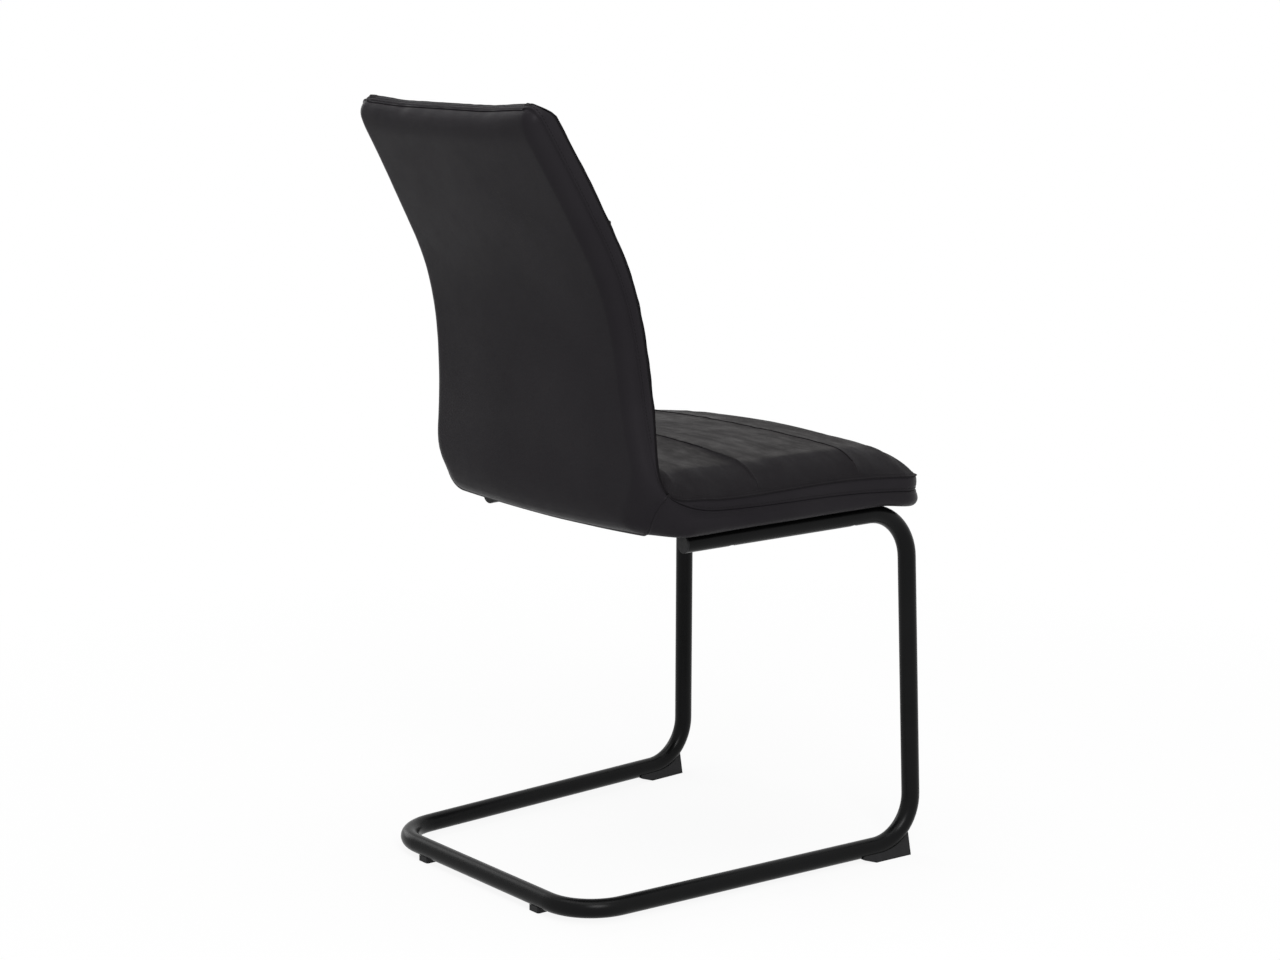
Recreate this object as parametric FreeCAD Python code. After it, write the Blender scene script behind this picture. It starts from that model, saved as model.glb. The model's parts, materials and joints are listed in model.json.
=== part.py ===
import FreeCAD, Part
import math
import os

from FreeCAD import Vector

os.makedirs("parts", exist_ok=True)

# Cantilever chair. Millimetres, Z up, the sitter looks along -Y, left is +X.
# While it is drawn, y = 0 is the middle of the rear floor tube and z = 0 the floor.

# steel tube
tubeDiameter = 22.0
tubeWall = 2.0
runnerHeight = 16.0          # middle of the floor tubes above the floor
baseFrontHalf = 220.3        # half distance between tube middles at the front of the floor
baseRearHalf = 190.95        # the same at the rear floor tube
railFrontHalf = 208.75       # the same at the top of the legs
railRearHalf = 189.35        # the same at the open ends of the rails
baseFrontY = -486.6
legTopY = -479.0
railFrontHeight = 425.8
railLength = 328.0
railDrop = 3.9               # fall of the rail from front to rear
baseCornerBend = 61.0        # bend radii on the tube's middle line
legFootBend = 57.0
legTopBend = 59.0

# caps in the open ends of the rails
capFlange = 2.2
capPlugDepth = 14.0
capFit = 0.25

# glides
saddleHalfWidth = 12.8       # sole of the saddle under each front bend
saddleDraft = 0.32           # its flanks lean in by this for each millimetre up
saddleHeight = 26.0
saddleRear = 82.6            # these five lie behind the front of the floor tubes
saddleSoleRear = 65.6
saddleSoleFront = 11.6
saddleNose = 9.1
saddlePeg = 67.6
padHalfSpacing = 113.0       # small pads under the rear floor tube
padLength = 19.0
padWidth = 15.0
padFlank = 9.0               # how high a pad reaches beside the tube
pegDiameter = 5.0
pegReach = 4.0               # into the tube, from its wall
glideFit = 0.3

# screws through the rails
screwFront = 84.0            # behind the top of the legs
screwRear = 264.0
screwDiameter = 6.0
screwHoleDiameter = 6.8
screwAccessDiameter = 12.2   # hole in the lower wall of the rail, for the head and washer
screwHeadDiameter = 10.5
screwHeadHeight = 3.2
screwSocketWidth = 4.0
screwSocketDepth = 2.0
washerDiameter = 11.0
washerThickness = 3.2        # at its middle; the top is rounded to the tube's inside
washerFit = 0.15
teeFlangeDiameter = 17.0
teeFlangeThickness = 1.4
teeBarrelDiameter = 8.4
teeBarrelLength = 8.5
threadFit = 0.15
teeFit = 0.25

# upholstered shell
plyThickness = 10.0
plyInset = 14.0              # edge of the board inside the side seam
plySeatEnd = 42.0            # end of the board behind the front edge of the seat
plyBackEnd = 34.0            # end of the board below the top edge of the back
skin = 3.0                   # leather with its wadding
softGap = 0.3                # between neighbouring upholstered pieces
restGap = 0.3                # between the rails and the underside
backBoardDepth = 12.0        # rear face of the board behind the side seam, in the back
creaseBoardDepth = 15.0      # the same at the crease
backBoardRun = 52.0          # distances over which the board settles from the crease
seatBoardRun = 62.0

# side seam, from the top of the back to the front of the seat: half width, distance
# behind the top of the legs, height over the rails
sideSeam = [
    (171.0, 515.7, 475.8),
    (175.0, 480.7, 416.8),
    (179.5, 445.7, 353.8),
    (182.5, 417.7, 296.8),
    (185.5, 401.7, 242.8),
    (189.0, 393.0, 181.9),
    (195.5, 388.4, 127.1),
    (202.5, 385.5, 93.6),
    (211.5, 376.6, 58.9),
    (216.2, 350.8, 40.2),
    (219.6, 325.0, 32.1),
    (221.2, 289.0, 28.6),
    (226.0, 181.0, 27.1),
    (229.5, 111.0, 26.1),
    (232.5, 51.0, 22.6),
    (235.0, -12.0, 16.6),
]
crease = 372.0               # seat and back meet here, behind the top of the legs

# seat cushion
seatShoulder = 40.0          # width of the rounded shoulder inside the seam
seatRise = 24.0              # height of that shoulder
seatCrest = 84.6             # its top over the rails, at its rear cross seam
seatCrestSlope = 0.033       # its fall towards the front
seatPuff = 3.5               # swelling of each cross panel above its seams
seatCorner = 40.0            # corner radius in plan
seatFrontCrown = 8.0
rearCross = 243.0            # cross seams, behind the top of the legs
frontCross = 96.0

# back cushion
backShoulder = 36.0
backRise = 15.0
backCrown = 8.0
backPuff = 3.5
backCorner = 20.0
backPanels = 3               # cross panels on the front of the back

# both cushions
puffRun = 28.0               # distance over which a panel swells from its seam
creaseRun = 26.0             # distance over which a cushion rises from the crease
creaseShare = 0.5            # share of its height that it keeps in the crease

# strips between the two seams: height at the crease, in the middle, at the end
bandCrease = 2.0
seatBandMiddle = 13.5
seatBandFront = 18.0
seatBandRun = 60.0           # distance from the crease to its middle height
backBandMiddle = 15.0
backBandTop = 19.0
backBandEnd = 12.5           # across the top edge
backBandRun = 110.0

# rear panel and underside
cornerDepth = 45.0           # from the crease seam to the lower rear edge
cornerSide = 4.0             # straight part of that
cornerShoulder = 62.0        # width of the round corner beside that edge
cornerCrown = 6.0            # swelling of that edge between its corners
rearShoulder = 17.0
rearRise = 16.0
rearCrown = 4.0
rearSide = 2.0
rearCornerRun = 64.0         # distance over which the corner depth fades out
underShoulder = 20.0
underSide = 4.0
underFrontRun = 28.0         # the bottom rounds up over this distance at the front
underCornerRun = 24.0        # distance from the crease seam to the flat bottom
stationStep = 32.0           # greatest distance between the sections of a form
firstStep = 9.0              # distance between the sections at the crease
stepGrowth = 1.3             # by which that distance grows away from it


def smooth(t):
    t = max(0.0, min(1.0, t))
    return t * t * (3.0 - 2.0 * t)


def quarter(t):
    t = max(0.0, min(1.0, t))
    return math.sqrt(1.0 - (1.0 - t) ** 2)


# rail line, needed by the underside and the screws

railRearY = legTopY + railLength
railSlope = -railDrop / railLength


def railMiddleHeight(y):
    return railFrontHeight + railSlope * (y - legTopY)


def railHalf(y):
    share = (y - legTopY) / railLength
    return railFrontHalf + (railRearHalf - railFrontHalf) * share


tubeRadius = tubeDiameter / 2
restBase = railMiddleHeight(0) + tubeRadius + restGap


# the seam as one curve, with distances measured from the crease

seamCurve = Part.BSplineCurve()
seamCurve.interpolate([Vector(w, legTopY + y, restBase + z) for w, y, z in sideSeam])
seamLength = seamCurve.length()


def seamAt(fromTop):
    fromTop = max(0.001, min(seamLength - 0.001, fromTop))
    u = seamCurve.parameterAtDistance(fromTop, seamCurve.FirstParameter)
    return seamCurve.value(u), seamCurve.tangent(u)[0]


def distanceAtY(y, low, high):
    # distance from the top at which the seam has this y, between two distances
    for _ in range(40):
        middle = (low + high) / 2
        if seamAt(middle)[0].y > y:
            low = middle
        else:
            high = middle
    return (low + high) / 2


creaseFromTop = distanceAtY(legTopY + crease, 0.45 * seamLength, seamLength)
backLength = creaseFromTop
seatLength = seamLength - creaseFromTop


class Side:
    # the seat or the back, where distances run from the crease to its free end
    def __init__(self, sign, length, corner):
        self.sign = sign
        self.length = length
        self.corner = corner

    def frame(self, d):
        point, tangent = seamAt(creaseFromTop + self.sign * d)
        size = math.hypot(tangent.y, tangent.z)
        inward = Vector(0, tangent.z / size, -tangent.y / size)
        return point, inward

    def place(self, d, x, h):
        point, inward = self.frame(d)
        return Vector(x, point.y + inward.y * h, point.z + inward.z * h)

    def half(self, d, inset=0.0, corner=None):
        # half width of the outline, drawn in by an inset, with its end corners round
        radius = self.corner if corner is None else corner
        point, _ = self.frame(d)
        toCorner = radius - (self.length - d)
        if toCorner <= 0:
            return point.x - inset
        inner = max(0.1, radius - inset)
        reach = max(0.0, inner ** 2 - toCorner ** 2)
        return point.x - radius + math.sqrt(reach)

    def endStations(self, inset=0.0):
        # distances along the end corners, closer together where they turn faster
        inner = self.corner - inset
        steps = [0, 25, 50, 70, 90]
        return [self.length - self.corner + inner * math.sin(math.radians(a)) for a in steps]


seat = Side(1, seatLength, seatCorner)
back = Side(-1, backLength, backCorner)


def slab(side, stations, inset, low, high, corner=None):
    # a flat layer that follows the seam: low and high are heights above it
    wires = []
    for d in stations:
        half = side.half(d, inset, corner)
        points = [
            side.place(d, half, low(d)),
            side.place(d, half, high(d)),
            side.place(d, -half, high(d)),
            side.place(d, -half, low(d)),
        ]
        wires.append(Part.makePolygon(points + points[:1]))
    return Part.makeLoft(wires, True, False)


def mound(side, d, half, base, wall, rise, crown, shoulder, way):
    # closed section: flat base, short upright wall, round shoulders and a crowned top
    shoulder = min(shoulder, half * 0.6)
    inner = half - shoulder
    top = wall + rise
    radius = (inner ** 2 + crown ** 2) / (2 * crown)
    slopeSin = inner / radius
    slopeCos = math.sqrt(1 - slopeSin ** 2)
    across = rise * slopeCos - shoulder * slopeSin
    turn = (shoulder ** 2 + rise ** 2) / (2 * across)
    centreX = inner - turn * slopeSin
    centreH = top - turn * slopeCos
    toTop = Vector(inner - centreX, top - centreH, 0)
    toWall = Vector(half - centreX, wall - centreH, 0)
    bisect = toTop.normalize() + toWall.normalize()
    bisect.normalize()
    middleX = centreX + turn * bisect.x
    middleH = centreH + turn * bisect.y

    def at(x, h):
        return side.place(d, x, base + way * h)

    edges = []
    edges.append(Part.LineSegment(at(-half, 0), at(half, 0)).toShape())
    if wall > 0:
        edges.append(Part.LineSegment(at(half, 0), at(half, wall)).toShape())
    edges.append(Part.Arc(at(half, wall), at(middleX, middleH), at(inner, top)).toShape())
    edges.append(Part.Arc(at(inner, top), at(0, top + crown), at(-inner, top)).toShape())
    edges.append(Part.Arc(at(-inner, top), at(-middleX, middleH), at(-half, wall)).toShape())
    if wall > 0:
        edges.append(Part.LineSegment(at(-half, wall), at(-half, 0)).toShape())
    return Part.Wire(edges)


# heights of the upholstery over the seam

def seatBand(d):
    lift = bandCrease + (seatBandMiddle - bandCrease) * smooth(d / seatBandRun)
    return lift + (seatBandFront - seatBandMiddle) * smooth((d - seatBandRun) / (seatLength * 0.6))


def backBand(d):
    lift = bandCrease + (backBandMiddle - bandCrease) * smooth(d / backBandRun)
    lift += (backBandTop - backBandMiddle) * smooth((d - backBandRun) / (backLength * 0.6))
    toEnd = backLength - d
    return lift - (backBandTop - backBandEnd) * smooth(1 - toEnd / (1.5 * backCorner))


rearCrossY = legTopY + rearCross
rearCrossSeam = distanceAtY(rearCrossY, creaseFromTop, seamLength) - creaseFromTop
frontCrossSeam = distanceAtY(legTopY + frontCross, creaseFromTop, seamLength) - creaseFromTop
seatSeams = [rearCrossSeam, frontCrossSeam]
backSeams = [backLength * (i + 1) / backPanels for i in range(backPanels - 1)]


def puff(d, seams, swell):
    # a panel stands above the seams beside it
    near = min(abs(d - s) for s in seams)
    return swell * quarter(near / puffRun)


def fromCrease(d):
    return creaseShare + (1 - creaseShare) * quarter(d / creaseRun)


def seatTotal(d):
    # height of the seat cushion's middle over the seam, before the front rounds off
    point, inward = seat.frame(d)
    crest = restBase + seatCrest
    if point.y < rearCrossY:
        crest -= seatCrestSlope * (rearCrossY - point.y)
    full = (crest - point.z) / inward.z
    return full * fromCrease(d) + puff(d, seatSeams, seatPuff)


def shoulderHeight(a, shoulder, rise):
    # height of a round shoulder at a distance inside its edge
    a = max(0.0, min(shoulder, a))
    radius = (shoulder ** 2 + rise ** 2) / (2 * rise)
    return math.sqrt(radius ** 2 - (shoulder - a) ** 2) - (radius - rise)


def seatSection(d):
    half = seat.half(d)
    band = seatBand(d)
    above = seatTotal(d) - band
    rise = min(seatRise, 0.72 * above)
    crown = above - rise
    toEnd = seat.length - d
    if toEnd < seatShoulder:
        share = shoulderHeight(toEnd, seatShoulder, seatRise) / seatRise
        crown = max(0.3, (seatFrontCrown * toEnd / seatShoulder) * 0.9)
        rise = max(0.9, rise * share)
        return mound(seat, d, half, band, 0, rise, crown, seatShoulder * (0.3 + 0.7 * share), 1)
    near = smooth((toEnd - seatShoulder) / 60.0)
    crown = seatFrontCrown + (crown - seatFrontCrown) * near
    return mound(seat, d, half, band, 0, rise, crown, seatShoulder, 1)


def backSection(d):
    half = back.half(d)
    band = backBand(d)
    rise = backRise * fromCrease(d)
    crown = backCrown * fromCrease(d) + puff(d, backSeams, backPuff)
    toEnd = back.length - d
    shoulder = backShoulder
    if toEnd < backShoulder:
        share = shoulderHeight(toEnd, backShoulder, backRise) / backRise
        crown = max(0.3, crown * toEnd / backShoulder)
        rise = max(0.9, rise * share)
        shoulder = backShoulder * (0.3 + 0.7 * share)
    return mound(back, d, half, band, 0, rise, crown, shoulder, 1)


def spread(first, last, most):
    # distances between two ends, at most this far apart
    count = max(1, math.ceil((last - first) / most))
    return [first + (last - first) * i / count for i in range(1, count)]


# the domes are made panel by panel; stations stand closer beside a seam
betweenSeams = [0.07, 0.22, 0.5, 0.78, 0.93]
fromTheCrease = [0.04, 0.12, 0.25, 0.45, 0.66, 0.86, 0.95]
toTheEnd = [0.08, 0.25, 0.5, 0.76]


def panelStations(side, seams):
    panels = []
    marks = [endGap] + seams
    for i, a in enumerate(marks[:-1]):
        b = marks[i + 1]
        shares = fromTheCrease if i == 0 else betweenSeams
        panels.append([a] + [a + (b - a) * t for t in shares] + [b])
    a = marks[-1]
    b = side.length - side.corner
    panels.append([a] + [a + (b - a) * t for t in toTheEnd] + side.endStations())
    return panels


endGap = softGap / 2
seatDome = panelStations(seat, seatSeams)
backDome = panelStations(back, backSeams)


# rear panel and underside: depths below the seam

def underDepth(d):
    point, inward = seat.frame(d)
    rest = restBase + railSlope * point.y
    flat = (point.z - rest) / (inward.z - railSlope * inward.y)
    toEnd = seat.length - d
    flat = flat * quarter(toEnd / underFrontRun)
    if d < underCornerRun:
        flatHere = cornerDepth + (flat - cornerDepth) * (d / underCornerRun)
        return min(flat, flatHere)
    return max(1.2, flat)


def underSection(d):
    depth = underDepth(d)
    half = seat.half(d)
    toEnd = seat.length - d
    fade = smooth(1 - d / (underCornerRun * 2))
    wall = underSide + (cornerSide - underSide) * fade
    wall = min(wall, depth * 0.4)
    crown = 0.3 + cornerCrown * fade
    rise = depth - wall - crown
    shoulder = underShoulder + (cornerShoulder - underShoulder) * fade
    shoulder = shoulder * (0.3 + 0.7 * quarter(toEnd / underFrontRun))
    return mound(seat, d, half, 0, wall, rise, crown, shoulder, -1)


def rearFade(d):
    return (1 - max(0.0, min(1.0, d / rearCornerRun))) ** 2


def rearDepth(d):
    plain = rearSide + rearRise + rearCrown
    return plain + (cornerDepth - plain) * rearFade(d)


def rearSection(d):
    half = back.half(d)
    fade = rearFade(d)
    toEnd = back.length - d
    round_ = quarter(toEnd / back.corner)
    wall = rearSide + (cornerSide - rearSide) * fade
    crown = rearCrown + (0.3 + cornerCrown - rearCrown) * fade
    rise = rearDepth(d) - wall - crown
    wall = max(0.3, wall * round_)
    rise = max(0.7, rise * round_)
    crown = max(0.3, crown * round_)
    shoulder = rearShoulder + (cornerShoulder - rearShoulder) * fade
    shoulder = shoulder * (0.3 + 0.7 * round_)
    return mound(back, d, half, 0, wall, rise, crown, shoulder, -1)


# board: its rear or lower face below the seam

def boardDepth(side, d):
    if side is seat:
        return underDepth(d) - skin - softGap
    return backBoardDepth


def boardLow(side):
    def low(d):
        # from the crease the board settles to its depth in the seat or in the back
        run = seatBoardRun if side is seat else backBoardRun
        share = smooth(d / run)
        return -(creaseBoardDepth + (boardDepth(side, max(d, run)) - creaseBoardDepth) * share)
    return low


def boardHigh(side):
    low = boardLow(side)
    return lambda d: low(d) + plyThickness


def build(stations, section):
    return Part.makeLoft([section(d) for d in stations], True, False)


def tidy(stations):
    out = [stations[0]]
    for d in stations[1:]:
        if d > out[-1] + 0.5:
            out.append(d)
    return out


print("seam", round(seamLength, 1), "back", round(backLength, 1), "seat", round(seatLength, 1))


def plainStations(side):
    # sections stand closer at the crease
    out = [0]
    step = firstStep
    while step < stationStep:
        out.append(out[-1] + step)
        step = step * stepGrowth
    return out + spread(out[-1], side.length - side.corner, stationStep)


seatPlain = plainStations(seat)
backPlain = plainStations(back)


def ringStations(side, plain, start, inset):
    return tidy([start] + [d for d in plain if d > start + 3] + side.endStations(inset))


# strips between the seams: the full outline less the drawn in one

def stripOf(side, plain, band):
    start = 3.0
    outer = slab(side, ringStations(side, plain, start, 0), 0,
                 lambda d: endGap, lambda d: band(d) - 2 * softGap)
    stations = ringStations(side, plain, endGap, skin)
    inner = slab(side, stations, skin, lambda d: -4, lambda d: band(d) + 4)
    return outer.cut(inner)


seatStrip = stripOf(seat, seatPlain, seatBand)
backStrip = stripOf(back, backPlain, backBand)
print("strips", seatStrip.isValid(), len(seatStrip.Solids), backStrip.isValid(), len(backStrip.Solids))


# board stations: straight ends with small corners

def boardRun(side, plain, end, inset, start):
    last = side.length - end
    keep = [d for d in plain if start + 3 < d < last - 8]
    return tidy([start] + keep + [last])


def boardSlab(side, plain, end, grow, start):
    low = boardLow(side)
    high = boardHigh(side)
    stations = boardRun(side, plain, end - grow, 0, start)
    wires = []
    for d in stations:
        point, _ = side.frame(d)
        half = point.x - plyInset + grow
        points = [
            side.place(d, half, low(d) - grow),
            side.place(d, half, high(d) + grow),
            side.place(d, -half, high(d) + grow),
            side.place(d, -half, low(d) - grow),
        ]
        wires.append(Part.makePolygon(points + points[:1]))
    return Part.makeLoft(wires, True, False)


seatBoard = boardSlab(seat, seatPlain, plySeatEnd, 0, 0)
backBoard = boardSlab(back, backPlain, plyBackEnd, 0, 0)
board = seatBoard.fuse(backBoard).removeSplitter()
print("board", board.isValid(), len(board.Solids), round(board.Volume))


# cushion: crowned dome over the strip, a core inside the strip, and the part down to the board

def cushionOf(side, plain, panels, section, band, end):
    domes = [build(stations, section) for stations in panels]
    inset = skin + 2 * softGap
    stations = ringStations(side, plain, endGap, inset)
    core = slab(side, stations, inset, lambda d: softGap, lambda d: band(d) + 0.8)
    high = boardHigh(side)
    last = side.length - end
    stations = tidy([endGap + 0.4] + [d for d in plain if 4 < d < last - 8] + [last])
    wires = []
    for d in stations:
        point, _ = side.frame(d)
        half = point.x - plyInset
        points = [
            side.place(d, half, high(d) + softGap),
            side.place(d, half, softGap + 0.7),
            side.place(d, -half, softGap + 0.7),
            side.place(d, -half, high(d) + softGap),
        ]
        wires.append(Part.makePolygon(points + points[:1]))
    foot = Part.makeLoft(wires, True, False)
    joined = domes[0]
    for dome in domes[1:]:
        joined = joined.fuse(dome)
    print("  domes", [d.isValid() for d in domes], "core", core.isValid(), "foot", foot.isValid())
    joined = joined.fuse(core).fuse(foot)
    return max(joined.Solids, key=lambda s: s.Volume)


seatCushion = cushionOf(seat, seatPlain, seatDome, seatSection, seatBand, plySeatEnd)
backCushion = cushionOf(back, backPlain, backDome, backSection, backBand, plyBackEnd)
print("seat cushion", seatCushion.isValid(), len(seatCushion.Solids), round(seatCushion.Volume))
print("back cushion", backCushion.isValid(), len(backCushion.Solids), round(backCushion.Volume))


# covers: the full form below the seam less the room for the board and the cushion's foot

def coverOf(side, plain, section, end):
    stations = tidy([endGap] + [d for d in plain if d > 4] + side.endStations())
    body = build(stations, section)
    low = boardLow(side)
    last = side.length - end + softGap
    stations = tidy([-2.0] + [d for d in plain if 4 < d < last - 8] + [last])
    wires = []
    for d in stations:
        point, _ = side.frame(d)
        half = point.x - plyInset + softGap
        points = [
            side.place(d, half, low(d) - softGap),
            side.place(d, half, 6),
            side.place(d, -half, 6),
            side.place(d, -half, low(d) - softGap),
        ]
        wires.append(Part.makePolygon(points + points[:1]))
    room = Part.makeLoft(wires, True, False)
    print("  body", body.isValid(), "room", room.isValid())
    return body.cut(room)


underside = coverOf(seat, seatPlain, underSection, plySeatEnd)
rearPanel = coverOf(back, backPlain, rearSection, plyBackEnd)
print("underside", underside.isValid(), len(underside.Solids), round(underside.Volume))
print("rear panel", rearPanel.isValid(), len(rearPanel.Solids), round(rearPanel.Volume))


# steel tube, as straight lengths and bends of one ring section

def tubePath(radius, inner):
    left = [
        (Vector(railRearHalf, railRearY, railMiddleHeight(railRearY)), 0),
        (Vector(railFrontHalf, legTopY, railFrontHeight), legTopBend),
        (Vector(baseFrontHalf, baseFrontY, runnerHeight), legFootBend),
        (Vector(baseRearHalf, 0, runnerHeight), baseCornerBend),
    ]
    right = [(Vector(-p.x, p.y, p.z), r) for p, r in reversed(left)]
    path = left + right

    def ring(middle, along):
        disc = Part.Face(Part.Wire(Part.makeCircle(radius, middle, along)))
        if inner > 0:
            disc = disc.cut(Part.Face(Part.Wire(Part.makeCircle(inner, middle, along))))
        return disc.Faces[0]

    pieces = []
    here = path[0][0]
    for i in range(1, len(path)):
        corner, bend = path[i]
        along = (corner - here).normalize()
        if bend == 0:
            pieces.append(ring(here, along).extrude(corner - here))
            break
        onward = (path[i + 1][0] - corner).normalize()
        turn = math.acos(along.dot(onward))
        cut = bend * math.tan(turn / 2)
        start = corner - along * cut
        pieces.append(ring(here, along).extrude(start - here))
        axis = along.cross(onward).normalize()
        centre = start + axis.cross(along) * bend
        pieces.append(ring(start, along).revolve(centre, axis, math.degrees(turn)))
        here = corner + onward * cut
    whole = pieces[0].multiFuse(pieces[1:])
    return whole.removeSplitter()


tube = tubePath(tubeRadius, tubeRadius - tubeWall)
print("tube", tube.isValid(), len(tube.Solids), round(tube.Volume))


def upright(x, y, low, high, diameter):
    return Part.makeCylinder(diameter / 2, high - low, Vector(x, y, low))


# glides, cut to the tube they sit under

tubeRoom = tubePath(tubeRadius + glideFit, 0)


def pegTop(middle):
    return middle - tubeRadius + tubeWall + pegReach


def runnerHalf(y):
    return baseRearHalf + (baseFrontHalf - baseRearHalf) * (y / baseFrontY)


def saddleGlide(sign):
    profile = [
        (saddleSoleRear, 0),
        (saddleSoleFront, 0),
        (saddleNose, saddleHeight),
        (saddleRear, saddleHeight),
        (saddleRear, runnerHeight - tubeRadius + 0.5),
    ]
    corners = [Vector(0, baseFrontY + a, z) for a, z in profile + profile[:1]]
    face = Part.Face(Part.makePolygon(corners))
    middle = sign * runnerHalf(baseFrontY + (saddleSoleRear + saddleSoleFront) / 2)
    face.translate(Vector(middle - 20, 0, 0))
    block = face.extrude(Vector(40, 0, 0))
    narrow = saddleHalfWidth - saddleDraft * saddleHeight
    front = [
        (-saddleHalfWidth, 0),
        (saddleHalfWidth, 0),
        (narrow, saddleHeight),
        (-narrow, saddleHeight),
    ]
    # the flanks follow the floor tube, which runs in a little towards the rear
    far = baseFrontY + saddleNose - 5
    near = baseFrontY + saddleRear + 5
    ends = []
    for y in (far, near):
        x = sign * runnerHalf(y)
        ends.append(Part.makePolygon([Vector(x + a, y, z) for a, z in front + front[:1]]))
    wedge = Part.makeLoft(ends, True, True)
    body = block.common(wedge).cut(tubeRoom)
    body = max(body.Solids, key=lambda s: s.Volume)
    y = baseFrontY + saddlePeg
    peg = upright(sign * runnerHalf(y), y, 2.0, pegTop(runnerHeight), pegDiameter)
    return body.fuse(peg).removeSplitter()


def padGlide(sign):
    x = sign * padHalfSpacing
    block = Part.makeBox(padLength, padWidth, padFlank, Vector(x - padLength / 2, -padWidth / 2, 0))
    edges = [e for e in block.Edges if e.Length > padFlank - 0.1 and abs(e.tangentAt(0).z) > 0.9]
    block = block.makeFillet(3.0, edges)
    body = block.cut(tubeRoom)
    body = max(body.Solids, key=lambda s: s.Volume)
    peg = upright(x, 0, 2.0, pegTop(runnerHeight), pegDiameter)
    return body.fuse(peg).removeSplitter()


pegHoles = []
for sign in (1, -1):
    pegHoles.append((sign * runnerHalf(baseFrontY + saddlePeg), baseFrontY + saddlePeg))
    pegHoles.append((sign * padHalfSpacing, 0))
for x, y in pegHoles:
    tube = tube.cut(upright(x, y, 0, runnerHeight, pegDiameter + 2 * glideFit))


# screws, washers and tee nuts at each fixing point

def boardTopAt(y):
    # height of the board's upper face in the flat of the seat
    rest = restBase + railSlope * y
    return rest + skin + softGap + plyThickness


names = [("left", 1), ("right", -1)]
rows = [("front", legTopY + screwFront), ("rear", legTopY + screwRear)]
fixings = {}
for sideName, sign in names:
    for rowName, y in rows:
        x = sign * railHalf(y)
        label = sideName + "_" + rowName
        railMiddle = railMiddleHeight(y)
        boardTop = boardTopAt(y)
        tube = tube.cut(upright(x, y, railMiddle, railMiddle + tubeDiameter, screwHoleDiameter))
        tube = tube.cut(upright(x, y, railMiddle - tubeDiameter, railMiddle, screwAccessDiameter))
        underside = underside.cut(upright(x, y, railMiddle, boardTop, screwHoleDiameter))
        recess = upright(x, y, boardTop - teeFlangeThickness - teeFit, boardTop + 4,
                         teeFlangeDiameter + 2 * teeFit)
        barrelHole = upright(x, y, boardTop - plyThickness - 5, boardTop + 4,
                             teeBarrelDiameter + 2 * teeFit)
        board = board.cut(recess).cut(barrelHole)
        # tee nut, let into the board from above
        flangeTop = boardTop - teeFit
        flange = upright(x, y, flangeTop - teeFlangeThickness, flangeTop, teeFlangeDiameter)
        barrel = upright(x, y, flangeTop - teeBarrelLength, flangeTop, teeBarrelDiameter)
        bore = upright(x, y, flangeTop - 20, flangeTop + 5, screwDiameter + 2 * threadFit)
        fixings[label + "_tee_nut"] = flange.fuse(barrel).cut(bore).removeSplitter()
        # washer inside the rail, rounded to its upper wall
        insideTop = railMiddle + tubeRadius - tubeWall
        washerBase = insideTop - washerThickness
        washer = upright(x, y, washerBase, insideTop + 1, washerDiameter)
        run = Vector(sign * (railRearHalf - railFrontHalf), railLength, -railDrop)
        start = Vector(sign * railFrontHalf, legTopY, railFrontHeight)
        bore = Part.makeCylinder(tubeRadius - tubeWall - washerFit, run.Length, start, run)
        washer = washer.common(bore)
        washer = washer.cut(upright(x, y, washerBase - 1, insideTop + 2, screwDiameter + 0.5))
        fixings[label + "_washer"] = max(washer.Solids, key=lambda s: s.Volume)
        # button head screw, driven through the hole in the lower wall
        headTop = washerBase - 0.1
        head = Part.makeCylinder(screwHeadDiameter / 2, screwHeadHeight,
                                 Vector(x, y, headTop - screwHeadHeight))
        rim = [e for e in head.Edges if abs(e.BoundBox.ZMax - (headTop - screwHeadHeight)) < 0.01]
        head = head.makeFillet(1.8, rim)
        shank = upright(x, y, headTop - 0.5, flangeTop - 1.0, screwDiameter)
        hexagon = []
        for i in range(7):
            a = math.radians(60 * i)
            r = screwSocketWidth / math.sqrt(3)
            low = headTop - screwHeadHeight
            hexagon.append(Vector(x + r * math.cos(a), y + r * math.sin(a), low))
        socket = Part.Face(Part.makePolygon(hexagon)).extrude(Vector(0, 0, screwSocketDepth))
        fixings[label + "_screw"] = head.fuse(shank).cut(socket).removeSplitter()


# caps in the open rail ends

def endCap(sign):
    end = Vector(sign * railRearHalf, railRearY, railMiddleHeight(railRearY))
    along = Vector(sign * (railRearHalf - railFrontHalf), railLength, -railDrop).normalize()
    flange = Part.makeCylinder(tubeRadius, capFlange, end + along * 0.05, along)
    rim = [e for e in flange.Edges if (e.CenterOfMass - end).Length > capFlange * 0.8 and e.Closed]
    flange = flange.makeFillet(0.9, rim)
    plugRadius = tubeRadius - tubeWall - capFit
    plug = Part.makeCylinder(plugRadius, capPlugDepth + 1, end + along, along * -1)
    hollow = Part.makeCylinder(plugRadius - 1.8, capPlugDepth, end - along, along * -1)
    return flange.fuse(plug).cut(hollow).removeSplitter()


solids = {
    "frame_tube": tube,
    "left_rail_end_cap": endCap(1),
    "right_rail_end_cap": endCap(-1),
    "left_front_glide": saddleGlide(1),
    "right_front_glide": saddleGlide(-1),
    "left_rear_glide": padGlide(1),
    "right_rear_glide": padGlide(-1),
    "plywood_shell": board,
    "seat_cushion": seatCushion,
    "back_cushion": backCushion,
    "seat_side_strip": seatStrip,
    "back_side_strip": backStrip,
    "back_rear_panel": rearPanel,
    "seat_underside_panel": underside,
}
solids.update(fixings)

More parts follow.
